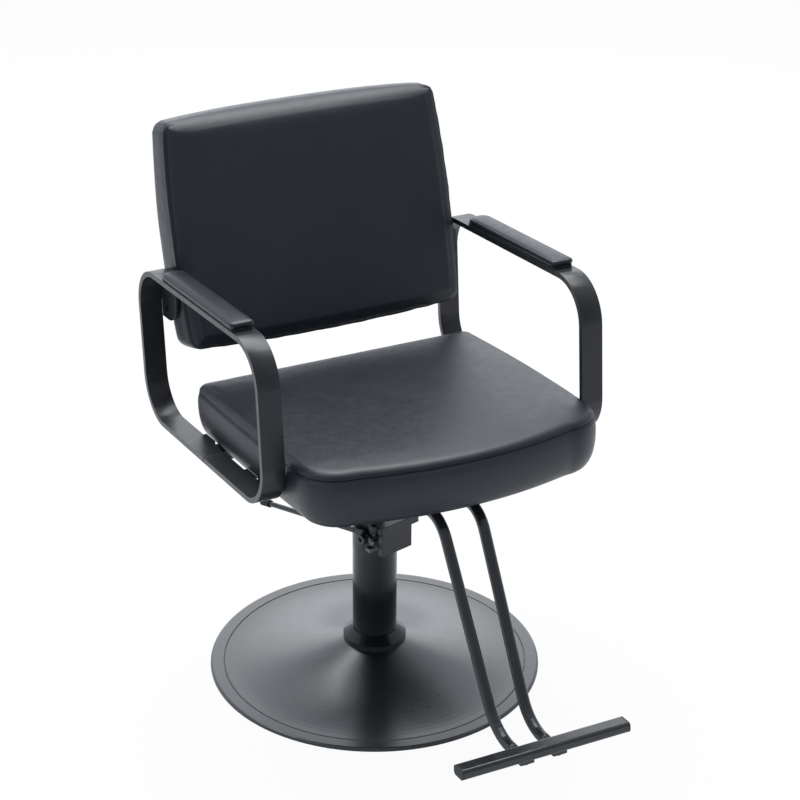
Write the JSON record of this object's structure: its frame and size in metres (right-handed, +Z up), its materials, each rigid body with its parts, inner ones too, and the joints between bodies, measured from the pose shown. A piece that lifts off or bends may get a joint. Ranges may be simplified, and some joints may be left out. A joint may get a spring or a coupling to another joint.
{
  "type": "hairdressing chair",
  "caption": "Hydraulic styling chair with a round disc base, foot pump lever, swivelling padded seat and back, flat bar arm loops and a bent tube footrest.",
  "frame": {"origin": "centre of the base disc, on the floor", "axes": "+Z up along the column, the chair faces -Y, +X is on the sitter's left"},
  "size_m": [0.6328, 0.9972, 0.9837],
  "materials": {
    "satin_black_steel": "satin powder coat",
    "gloss_black_steel": "gloss paint",
    "cast_ballast": "rough",
    "bare_steel": "machined",
    "plated_ram": "ground and plated",
    "black_fasteners": "black oxide",
    "bronze": "machined bronze",
    "black_rubber": "matte",
    "black_vinyl": "satin vinyl-coated fabric with a fine grain, over foam",
    "black_board": "plywood, painted black",
    "black_plastic": "moulded"
  },
  "bodies": {
    "base": {"floor_ring": "black_rubber", "base_cover": "gloss_black_steel", "ballast_plate": "cast_ballast", "column_foot": "bare_steel", "foot_bolts": "black_fasteners", "column_collar": "gloss_black_steel", "column_tube": "gloss_black_steel", "pump_cylinder": "bare_steel", "column_cap": "satin_black_steel", "guide_bush": "bronze", "ram_wiper": "black_rubber", "head_plate": "satin_black_steel", "head_cover": "satin_black_steel", "head_screws": "black_fasteners", "pivot_pin": "bare_steel"},
    "ram": {"ram_rod": "plated_ram", "ram_piston": "plated_ram", "piston_seals": "black_rubber", "ram_collar": "bare_steel", "thrust_washer": "bronze"},
    "seat": {"swivel_socket": "satin_black_steel", "mount_plate": "satin_black_steel", "mount_bolts": "black_fasteners", "wedge_channel_left": "satin_black_steel", "wedge_channel_right": "satin_black_steel", "cross_bar_front": "satin_black_steel", "cross_bar_rear": "satin_black_steel", "arm_loop_left": "satin_black_steel", "arm_loop_right": "satin_black_steel", "pad_base_left": "black_board", "pad_base_right": "black_board", "arm_pad_left": "black_vinyl", "arm_pad_right": "black_vinyl", "pad_screws": "black_fasteners", "seat_board": "black_board", "seat_bolts": "black_fasteners", "seat_cushion": "black_vinyl", "back_bracket_left": "satin_black_steel", "back_bracket_right": "satin_black_steel", "bracket_spacers": "black_fasteners", "bracket_bolts": "black_fasteners", "back_board": "black_board", "back_cushion": "black_vinyl", "footrest_tube_left": "satin_black_steel", "footrest_tube_right": "satin_black_steel", "foot_bar": "satin_black_steel", "foot_bar_caps": "black_plastic", "footrest_screws": "black_fasteners"},
    "lever": {"lever_hub": "satin_black_steel", "lever_rod": "satin_black_steel", "pedal_grip": "black_rubber", "lever_arm": "bare_steel"},
    "plunger": {"pump_plunger": "bare_steel"}
  },
  "joints": [
    {"name": "lift", "type": "slide", "parent": "base", "child": "ram", "axis": [0, 0, 1], "range_m": [-0.085, 0.065]},
    {"name": "swivel", "type": "hinge", "parent": "ram", "child": "seat", "pos_m": [0, 0, 0.42], "axis": [0, 0, 1], "continuous": true},
    {"name": "lever_hinge", "type": "hinge", "parent": "base", "child": "lever", "pos_m": [-0.04164, -0.03393, 0.278], "axis": [-0.9659, -0.2588, 0], "range_deg": [0, 22], "stiffness_Nm_per_rad": 6, "springref_deg": -22.92},
    {"name": "plunger_slide", "type": "slide", "parent": "base", "child": "plunger", "axis": [0, 0, 1], "range_m": [0, 0.0056]}
  ],
  "couplings": [
    {"joint": "plunger_slide", "follows": "lever_hinge", "m_per_rad": 0.01407}
  ]
}
